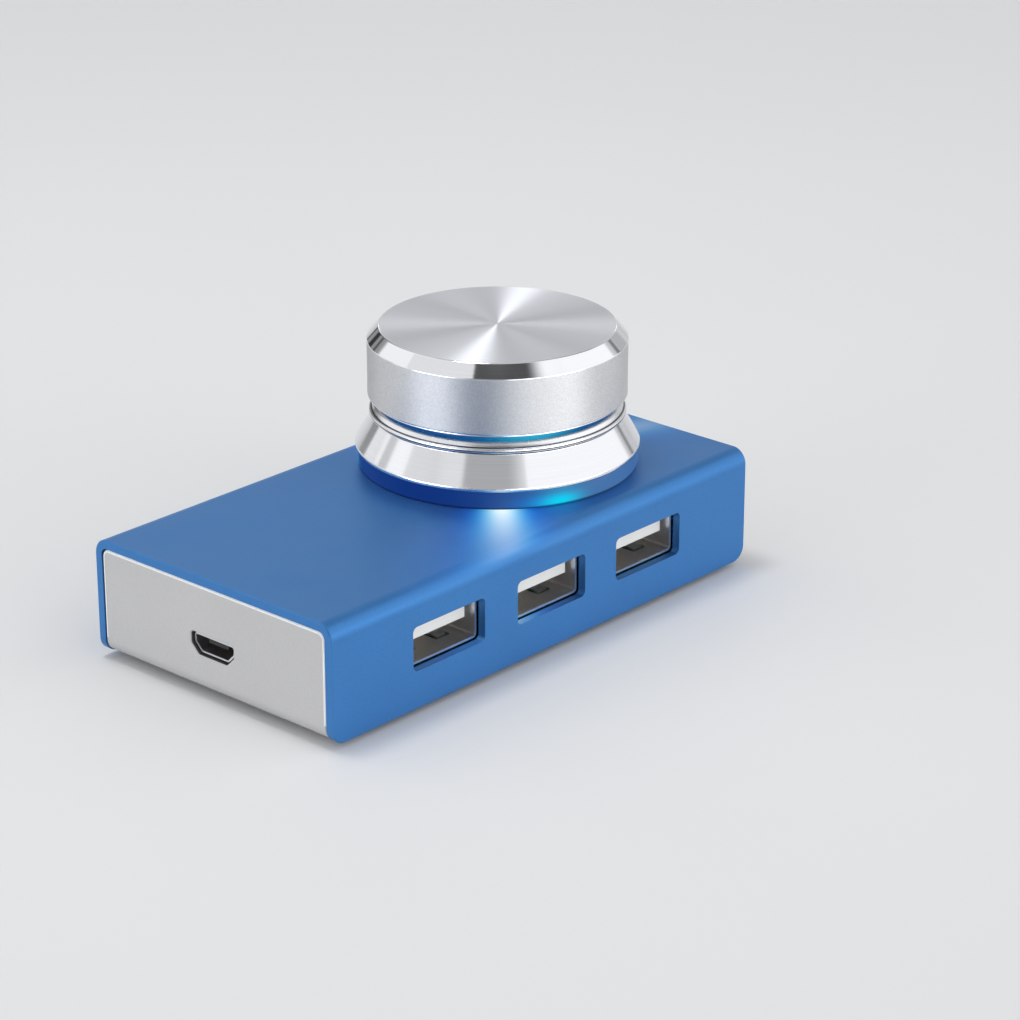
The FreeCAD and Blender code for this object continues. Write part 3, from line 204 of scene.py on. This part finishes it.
def blasted_metal(name, base, shade, roughness, grain_per_metre, depth, metallic=1.0, glow=None):
    """Bead-blasted metal. The glow is light that falls on it from a source that isn't modelled."""
    material, tree = new_material(name)
    cloud, grain, tone = blasting(tree, tree.place(), grain_per_metre)
    light = {"Emission_Color": glow(tree), "Emission_Strength": 1.0} if glow else {}
    tree.surface(Base_Color=tree.blend(tone, shade, base), Metallic=metallic,
                 Roughness=tree.uneven(cloud, roughness, 0.03), Normal=tree.bump(grain, depth), **light)
    return material


def tray_sheet():
    """Blasted sheet whose end plates have polished cut edges with a painted highlight along them, and painted
    shade on the punched wall round the inlet.
    """
    corner_round = 1.1 * MM                             # radius of a plate's upper corners
    edge_outer, edge_inner = 0.2 * MM, 0.42 * MM        # from a plate's outline, where its bright edge fades
    plate_low, plate_high = 3.2 * MM, 3.4 * MM          # heights between which the plates begin
    inlet_near, inlet_far = 6.0 * MM, 6.2 * MM          # from the middle of the plate, where the inlet ends
    half_width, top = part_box("base_tray")[1].y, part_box("base_tray")[1].z

    material, tree = new_material("tray_silver")
    place = tree.place()
    outward = tree.part(tree.vector("ABSOLUTE", tree.normal()), "X")
    on_plate = tree.step(tree.part(place, "Z"), plate_low, plate_high)
    corner = (0.0, half_width - corner_round, top - corner_round)
    inner = tree.vector("MULTIPLY", tree.vector("SUBTRACT", tree.vector("ABSOLUTE", place), corner),
                        (0.0, 1.0, 1.0))
    outside = tree.vector("LENGTH", tree.vector("MAXIMUM", inner, (0.0, 0.0, 0.0)), output="Value")
    border = tree.step(outside, corner_round - edge_inner, corner_round - edge_outer)
    # the cut edge and a thin band of the plate's face beside it are painted near white: partly the polished edge,
    # partly a painted highlight
    cut_edge_and_highlight = tree.math("MULTIPLY", border, tree.math("MULTIPLY", tree.step(outward, 0.25, 0.4), on_plate))
    aside = tree.math("ABSOLUTE", tree.part(place, "Y"))
    # painted shade: the inner wall of the inlet in the plate is darkened
    painted_inlet_shade = tree.math("MULTIPLY", tree.step(outward, 0.4, 0.2),
                        tree.math("MULTIPLY", tree.step(aside, inlet_far, inlet_near), on_plate))
    cloud, grain, tone = blasting(tree, place, 5200)
    sheet = tree.blend(tone, colour(186, 186, 187), colour(199, 199, 199))
    # the dark grey on the inlet's wall is painted shade
    sheet = tree.blend(painted_inlet_shade, sheet, colour(84, 84, 86))
    tree.surface(Base_Color=tree.blend(cut_edge_and_highlight, sheet, colour(250, 250, 250)),
                 Metallic=tree.step(cut_edge_and_highlight, 0.0, 1.0, 0.5, 0.1),
                 Roughness=tree.math("MULTIPLY_ADD", cut_edge_and_highlight, -0.2, tree.uneven(cloud, 0.5, 0.03)),
                 Normal=tree.bump(grain, 0.000004))
    return material


def ring_tangent(tree):
    """The way round the axis, along which turning marks run."""
    return tree.add("ShaderNodeTangent", direction_type="RADIAL", axis="Z")


def blasted_side():
    """The cap's side: blasted after turning, so reflections run up and down it over a sparkling grain."""
    material, tree = new_material("knob_aluminium")
    place = tree.place()
    grain = tree.noise(place, 7000, 1.0)
    patch = tree.noise(place, 2200, 1.0)
    tone = tree.math("MULTIPLY_ADD", tree.step(grain, 0.3, 0.7), 0.6, tree.math("MULTIPLY", patch, 0.4))
    tree.surface(Base_Color=tree.blend(tone, colour(208, 209, 212), colour(236, 237, 239)), Metallic=1.0,
                 Roughness=0.54, Anisotropic=0.86, Anisotropic_Rotation=0.25, Tangent=ring_tangent(tree),
                 Normal=tree.bump(grain, 0.000006))
    return material


def spun_metal():
    """The cap's top: concentric tool marks that spread a reflection along the radius."""
    material, tree = new_material("spun_top")
    level = tree.vector("MULTIPLY", tree.place(), (1.0, 1.0, 0.0))
    radius = tree.vector("LENGTH", level, output="Value")
    rings = tree.add("ShaderNodeTexNoise", {"W": tree.math("MULTIPLY", radius, 9000.0), "Scale": 1.0,
                                            "Detail": 2.0}, noise_dimensions="1D")
    tree.surface(Base_Color=tree.blend(rings, colour(218, 221, 228), colour(240, 242, 247)), Metallic=1.0,
                 Roughness=0.38, Anisotropic=0.95, Anisotropic_Rotation=0.25, Tangent=ring_tangent(tree),
                 Normal=tree.bump(rings, 0.000002))
    return material


def polished_metal(name, base, roughness):
    """Diamond-turned metal: near a mirror, with faint turned lines."""
    material, tree = new_material(name)
    place = tree.place()
    lines = tree.noise(tree.vector("MULTIPLY", place, (60.0, 60.0, 9000.0)), 1.0)
    cloud = tree.noise(place, 150)
    tree.surface(Base_Color=tree.blend(lines, base, colour(240, 241, 245)), Metallic=1.0,
                 Roughness=tree.uneven(cloud, roughness, roughness * 0.2),
                 Normal=tree.bump(lines, 0.0000012))
    return material


def light_guide():
    """Blue clear plastic lit from behind: deep blue, steel blue beside a lamp and cyan before it. The steel blue
    is partly lamp glow and partly a painted reflection of the soft box. Its collar shows in the waist of the knob."""
    # below this height the glow is dimmed: painted shade where the ring meets the roof
    shaded_foot_top = ROOF + 0.35 * MM                             # the rim is lit from here
    rim_top, collar_foot = ROOF + 2.2 * MM, ROOF + 2.6 * MM
    spot_low, spot_high = ROOF + 0.6 * MM, ROOF + 2.1 * MM  # heights at which the spots are full and faint

    material, tree = new_material("blue_light_guide")
    height = tree.part(tree.place(), "Z")
    # steel blue beside each lamp: partly lamp glow, partly a painted reflection of the soft box
    ring_glow_and_reflection = tree.blend(nearness(tree, 22, 3.0, HALO_GLOW_AND_REFLECTION), colour(0, 36, 112), colour(72, 116, 166))
    low = tree.step(height, spot_high, spot_low, 0.25, 1.0)
    tail = tree.math("MULTIPLY", nearness(tree, -9, 55.0), low)
    spot = tree.math("MULTIPLY", nearness(tree, 0, 85.0), low)
    lit = tree.blend(tree.math("MULTIPLY", tail, 0.7), ring_glow_and_reflection, colour(26, 120, 216))
    lit = tree.blend(spot, lit, colour(8, 218, 252))
    collar = tree.blend(nearness(tree, -8, 20.0), colour(14, 84, 146), colour(40, 180, 216))
    lit = tree.blend(tree.step(height, collar_foot - 0.2 * MM, collar_foot), lit, collar)
    # the glow falls to 0.15 at the ring's foot: a painted shade line
    strength = tree.math("MULTIPLY", tree.step(height, ROOF, shaded_foot_top, 0.15, 1.0),
                         tree.step(height, rim_top, collar_foot, 1.0, 0.9))
    cloud = tree.noise(tree.place(), 300)
    tree.surface(Base_Color=tree.blend(cloud, colour(3, 20, 56), colour(4, 26, 66)),
                 Roughness=tree.uneven(cloud, 0.18, 0.04), Specular_IOR_Level=0.12,
                 Emission_Color=lit, Emission_Strength=tree.math("MULTIPLY", strength, 0.9),
                 Normal=tree.bump(cloud, 0.00001))
    return material


def moulded(name, base, shade, roughness, specular=0.5):
    """Moulded plastic or rubber with a fine spark-eroded skin."""
    material, tree = new_material(name)
    place = tree.place()
    skin = tree.noise(place, 5000)
    cloud = tree.noise(place, 200)
    tree.surface(Base_Color=tree.blend(cloud, shade, base), Specular_IOR_Level=specular,
                 Roughness=tree.uneven(skin, roughness, 0.05), Normal=tree.bump(skin, 0.00001))
    return material


def plated(name, base, shade, roughness):
    """Stamped and plated sheet metal: faint drawn lines along its length and small stains."""
    material, tree = new_material(name)
    place = tree.place()
    lines = tree.noise(tree.vector("MULTIPLY", place, (5000.0, 400.0, 5000.0)), 1.0)
    stain = tree.noise(place, 500, 3.0)
    tree.surface(Base_Color=tree.blend(stain, shade, base), Metallic=1.0,
                 Roughness=tree.uneven(lines, roughness, 0.01), Normal=tree.bump(lines, 0.0000001))
    return material


def circuit_board():
    """Green solder mask over tracks that show as faint ridges."""
    material, tree = new_material("circuit_board")
    tracks = tree.add("ShaderNodeTexVoronoi", {"Vector": tree.place(), "Scale": 420.0}, "Distance",
                      feature="DISTANCE_TO_EDGE")
    copper = tree.step(tracks, 0.05, 0.12)
    tree.surface(Base_Color=tree.blend(copper, colour(14, 84, 46), colour(6, 56, 30)), Roughness=0.3,
                 Coat_Weight=0.5, Coat_Roughness=0.1, Normal=tree.bump(copper, 0.00003))
    return material


MATERIALS = {
    "blue_anodised": blasted_metal("blue_anodised", colour(67, 130, 194), colour(60, 121, 185), 0.43, 5200,
                                   0.0000035, metallic=0.75, glow=pools_of_light),
    "tray_silver": tray_sheet(),
    "rubber": moulded("rubber", colour(34, 34, 35), colour(26, 26, 27), 0.75, 0.3),
    "screw_steel": plated("screw_steel", colour(150, 150, 154), colour(126, 126, 130), 0.35),
    "brass": plated("brass", colour(220, 190, 120), colour(196, 164, 96), 0.3),
    "circuit_board": circuit_board(),
    "steel": plated("steel", colour(220, 221, 225), colour(204, 205, 210), 0.34),
    "can_aluminium": plated("can_aluminium", colour(220, 221, 224), colour(204, 205, 208), 0.35),
    "ceramic": moulded("ceramic", colour(176, 146, 108), colour(150, 122, 88), 0.5),
    "black_plastic": moulded("black_plastic", colour(38, 38, 40), colour(28, 28, 30), 0.5),
    "white_plastic": moulded("white_plastic", colour(232, 232, 228), colour(220, 220, 216), 0.42),
    "gold": plated("gold", colour(244, 208, 130), colour(226, 186, 106), 0.22),
    "cast_zinc": blasted_metal("cast_zinc", colour(186, 187, 190), colour(160, 161, 165), 0.42, 2500, 0.000006),
    "blue_light_guide": light_guide(),
    "lamp_white": moulded("lamp_white", colour(240, 242, 244), colour(224, 228, 232), 0.3),
    "polished_aluminium": polished_metal("polished_aluminium", colour(226, 228, 233), 0.1),
    "knob_aluminium": blasted_side(),
}
SPUN_TOP = spun_metal()
MIRROR_BEVEL = polished_metal("mirror_bevel", colour(230, 232, 236), 0.07)
SATIN_SHELF = polished_metal("satin_shelf", colour(238, 239, 242), 0.26)
DARK_GROOVE = blasted_metal("dark_groove", colour(104, 106, 112), colour(88, 90, 96), 0.34, 5200, 0.000002)


# ---- CAD nodes ------------------------------------------------------------------------------------

def dress_nodes():
    for subpart in frame["record"]["subparts"]:
        piece = frame["nodes"][subpart["node"]]
        for slot in piece.material_slots:
            slot.material = MATERIALS[subpart["material_slot"]]


# ---- turned pieces, with profiles in millimetres --------------------------------------------------

TURN_STEPS = 256

# finishes of a turned piece, by material slot. The third slot is the cap's top and the skirt's grooves.
SIDE, EDGE, TOP, GROOVE, SHELF = 0, 1, 2, 2, 3


def eased(corners, steps=4):
    """A profile of (radius, height, reach, finish) corners whose edges are rounded over their reach. The
    finish is that of the surface from the corner to the next, and a rounded edge has its own."""
    points = []
    count = len(corners)
    for index, (radius, height, reach, finish) in enumerate(corners):
        here = Vector((radius, height))
        before, after = Vector(corners[index - 1][:2]), Vector(corners[(index + 1) % count][:2])
        if not reach:
            points.append((here, finish))
            continue
        start = here + (before - here).normalized() * reach
        end = here + (after - here).normalized() * reach
        for step in range(steps + 1):
            share = step / steps
            point = start * (1 - share) ** 2 + here * 2 * share * (1 - share) + end * share ** 2
            points.append((point, finish if step == steps else EDGE))
    return points


def turned(name, corners, finishes, z0):
    """A solid of revolution about the knob's axis."""
    mesh = bmesh.new()
    profile = eased(corners)
    rings = []
    for point, _ in profile:
        count = 1 if point.x < 1e-9 else TURN_STEPS
        turns = [2 * math.pi * step / TURN_STEPS for step in range(count)]
        rings.append([mesh.verts.new((point.x * MM * math.cos(turn), point.x * MM * math.sin(turn),
                                      point.y * MM)) for turn in turns])
    for (_, finish), ring, following in zip(profile, rings, rings[1:] + rings[:1]):
        if len(ring) == len(following) == 1:
            continue
        for step in range(TURN_STEPS):
            after = (step + 1) % TURN_STEPS
            corner_vertices = [ring[step % len(ring)], ring[after % len(ring)],
                               following[after % len(following)], following[step % len(following)]]
            face = mesh.faces.new(dict.fromkeys(corner_vertices))
            face.material_index = finish
            face.smooth = True
    bmesh.ops.recalc_face_normals(mesh, faces=mesh.faces)
    data = bpy.data.meshes.new(name)
    mesh.to_mesh(data)
    mesh.free()
    for finish in finishes:
        data.materials.append(finish)
    piece = bpy.data.objects.new(name, data)
    bpy.context.scene.collection.objects.link(piece)
    piece.location = (KNOB_X, KNOB_Y, z0)
    normals = piece.modifiers.new("normals", "WEIGHTED_NORMAL")
    normals.weight = 80
    return piece


def knob_cap():
    """The cap: spun top, polished bevel, blasted side, and the room for the collar inside."""
    low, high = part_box("knob_cap")
    radius = (high.x - low.x) / 2 / MM
    height = (high.z - low.z) / MM
    bevel_reach, bevel_drop, foot_bevel = 1.6, 1.8, 0.4
    side_wall, roof, hub_drop, hub_radius, bore, ceiling = 1.3, 2.6, 1.6, 6.2, 5.0, 3.1
    top_edge, edge, foot_edge, inner_edge = 0.14, 0.1, 0.08, 0.05
    piece = turned("knob_cap_turned", [
        (0, height, 0, TOP),
        (radius - bevel_reach, height, top_edge, EDGE),
        (radius, height - bevel_drop, edge, SIDE),
        (radius, hub_drop + foot_bevel, edge, EDGE),
        (radius - foot_bevel, hub_drop, foot_edge, SIDE),
        (radius - side_wall, hub_drop, inner_edge, SIDE),
        (radius - side_wall, height - roof, 0, SIDE),
        (hub_radius, height - roof, 0, SIDE),
        (hub_radius, 0, edge, SIDE),
        (bore, 0, edge, SIDE),
        (bore, height - ceiling, 0, SIDE),
        (0, height - ceiling, 0, SIDE),
    ], [MATERIALS["knob_aluminium"], MIRROR_BEVEL, SPUN_TOP], low.z)
    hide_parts("knob_cap")
    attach(piece, "knob")


def skirt_ring():
    """The polished flare with its cove, bead and rounded shelf."""
    low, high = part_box("skirt_ring")
    radius = (high.x - low.x) / 2 / MM
    height = (high.z - low.z) / MM
    bore, foot = 16.45, 0.4
    cove, cove_height, slope = 17.5, 4.45, 0.2
    bead, bead_height = 17.95, 0.5
    bead_bottom = cove_height + slope * 2
    bead_top = bead_bottom + bead_height
    sole_edge, foot_edge, cove_edge, bore_edge = 0.08, 0.15, 0.05, 0.06
    bead_lower_edge, bead_upper_edge = 0.12, 0.24
    shelf_round = [(0.12, 0.36), (0.36, 0.14), (0.68, 0.03)]        # inwards of the cove, and below the top
    piece = turned("skirt_ring_turned", [
        (bore, 0, 0, SIDE),
        (radius, 0, sole_edge, SIDE),
        (radius, foot, foot_edge, SIDE),
        (cove, cove_height, cove_edge, GROOVE),
        (cove, cove_height + slope, 0, GROOVE),
        (bead, bead_bottom, bead_lower_edge, GROOVE),
        (bead, bead_top, bead_upper_edge, GROOVE),
        (cove, bead_top + slope, 0, SHELF),
        *[(cove - inwards, height - drop, 0, SHELF) for inwards, drop in shelf_round],
        (bore, height, bore_edge, SIDE),
    ], [MATERIALS["polished_aluminium"], SATIN_SHELF, DARK_GROOVE, SATIN_SHELF], low.z)
    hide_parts("skirt_ring")
    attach(piece, "housing")
    return piece


# ---- studio ---------------------------------------------------------------------------------------

def camera():
    data = bpy.data.cameras.new("camera")
    data.sensor_width = SENSOR
    data.lens = FOCAL_PIXELS / FRAME_PIXELS * SENSOR
    data.clip_start = 0.01
    data.clip_end = 20
    eye = bpy.data.objects.new("camera", data)
    bpy.context.scene.collection.objects.link(eye)
    eye.location = CAMERA_PLACE
    back = Vector((math.sin(VIEW_AZIMUTH) * math.cos(VIEW_ELEVATION),
                   -math.cos(VIEW_AZIMUTH) * math.cos(VIEW_ELEVATION), math.sin(VIEW_ELEVATION)))
    eye.rotation_mode = "QUATERNION"
    eye.rotation_quaternion = (-back).to_track_quat("-Z", "Y")
    bpy.context.scene.camera = eye


def floor():
    half = 4.0
    mesh = bpy.data.meshes.new("floor")
    mesh.from_pydata([(-half, -half, 0), (half, -half, 0), (half, half, 0), (-half, half, 0)], [],
                     [(0, 1, 2, 3)])
    material, tree = new_material("floor")
    cloud = tree.noise(tree.place(), 6)
    tree.surface(Base_Color=tree.blend(cloud, colour(226, 227, 229), colour(230, 231, 232)),
                 Roughness=0.6, Specular_IOR_Level=0.25)
    mesh.materials.append(material)
    ground = bpy.data.objects.new("floor", mesh)
    bpy.context.scene.collection.objects.link(ground)


# what the studio shows beside its plain walls: azimuth from and to, elevation from and to and softness of the
# border, in degrees, and brightness. Azimuths are from the camera's side, positive towards the right of its
# picture. A later panel covers an earlier one.
STUDIO_PANELS = [
    (-100, -32, 33, 66, 2, 0.86),       # pale wall on the left, up high
    (-57, -30, 16, 33, 2, 0.78),        # the same wall lower down, in stripes
    (-84, -57, 8, 33, 2, 0.82),
    (-102, -84, 8, 33, 1.5, 1.1),
    (-130, -100, 12, 60, 1.5, 1.02),    # soft box on the left
    (-133, -115, 4, 12, 2, 0.9),
    (-111, -102, 6, 22, 1.5, 0.66),     # grey stripe in it
    (-158, -131, -4, 34, 2, 0.32),      # dark corner with darker stands
    (-149, -143, -4, 40, 1, 0.04),
    (-139, -136.5, 10, 20, 1, 0.06),
    (-158, -154, -4, 40, 1, 0.1),
    (26, 127, -4, 50, 1.5, 1.12),       # large soft box on the right
    (-32, 66, 50, 66, 2, 0.09),         # dark gap over the grey wall
    (51, 127, 42, 68, 12, 1.12),        # upper part of the soft box
    (132, 136, -4, 34, 1.5, 0.2),       # stand and grey beside it
    (137, 150, 4, 24, 2, 0.5),
    (118, 172, 38, 62, 6, 0.3),         # dark ceiling corner behind it
    (-30, 26, -4, 47, 2, 0.47),         # grey wall behind the camera
    (20, 60, 26, 42, 12, 1.12),         # light that fades into it from the right
    (-75, -38, -4, 12, 6, 6.4),         # low strips on both sides
    (9, 44, -4, 12, 5, 4.6),
    (44, 78, -4, 14, 6, 5.2),
    (-24, 6, -4, 24, 5, 0.12),          # dark low corner between them
    (168.5, 172, 17, 21, 1, 3.0),       # small lights at the back
    (-172, -168.5, 17, 21, 1, 3.0),
]


def studio():
    """A pale studio, as brightness by direction, with its panels."""
    world = bpy.data.worlds.new("studio")
    bpy.context.scene.world = world
    world.use_nodes = True
    tree = Tree(world.node_tree)
    way = tree.add("ShaderNodeTexCoord", output="Generated")
    to_camera = Vector((math.sin(VIEW_AZIMUTH), -math.cos(VIEW_AZIMUTH), 0))
    to_right = Vector((math.cos(VIEW_AZIMUTH), math.sin(VIEW_AZIMUTH), 0))
    ahead = tree.vector("DOT_PRODUCT", way, to_camera, output="Value")
    aside = tree.vector("DOT_PRODUCT", way, to_right, output="Value")
    up = tree.vector("DOT_PRODUCT", way, (0.0, 0.0, 1.0), output="Value")
    azimuth = tree.math("DEGREES", tree.math("ARCTAN2", aside, ahead))
    elevation = tree.math("DEGREES", tree.math("ARCSINE", up))

    light = tree.step(elevation, 10.0, 60.0, 0.66, 0.58)
    for az_low, az_high, el_low, el_high, soft, level in STUDIO_PANELS:
        share = tree.step(azimuth, az_low - soft, az_low + soft)
        for side in (tree.step(azimuth, az_high + soft, az_high - soft),
                     tree.step(elevation, el_low - soft, el_low + soft),
                     tree.step(elevation, el_high + soft, el_high - soft)):
            share = tree.math("MULTIPLY", share, side)
        light = tree.math("ADD", tree.math("MULTIPLY", light, tree.math("SUBTRACT", 1.0, share)),
                          tree.math("MULTIPLY", share, level))
    background = tree.add("ShaderNodeBackground", {"Color": (1.0, 1.0, 1.0, 1.0), "Strength": light})
    tree.add("ShaderNodeOutputWorld", {"Surface": background})


def overhead_lamp(skirt):
    """A soft round lamp over the knob, a little to the left in the camera's view, that isn't seen itself. It
    leaves the skirt out, in which its mirror image would throw a spot on the roof."""
    leftwards, height, size, power = 0.108, 0.5, 0.15, 0.7
    data = bpy.data.lights.new("overhead", "AREA")
    data.shape = "ELLIPSE"
    data.size = data.size_y = size
    data.energy = power
    lamp = bpy.data.objects.new("overhead", data)
    bpy.context.scene.collection.objects.link(lamp)
    left = Vector((-math.cos(VIEW_AZIMUTH), -math.sin(VIEW_AZIMUTH), 0))
    target = Vector((KNOB_X, KNOB_Y, ROOF))
    lamp.location = target + left * leftwards + Vector((0, 0, height))
    lamp.rotation_mode = "QUATERNION"
    lamp.rotation_quaternion = (target - lamp.location).to_track_quat("-Z", "Y")
    lamp.visible_camera = False
    shaded = bpy.data.collections.new("shaded_from_overhead")
    shaded.objects.link(skirt)
    shaded.collection_objects[0].light_linking.link_state = "EXCLUDE"
    lamp.light_linking.receiver_collection = shaded


# ---- the whole ------------------------------------------------------------------------------------

camera()
dress_nodes()
knob_cap()
skirt = skirt_ring()
floor()
studio()
overhead_lamp(skirt)
bpy.context.scene.view_settings.view_transform = "Standard"
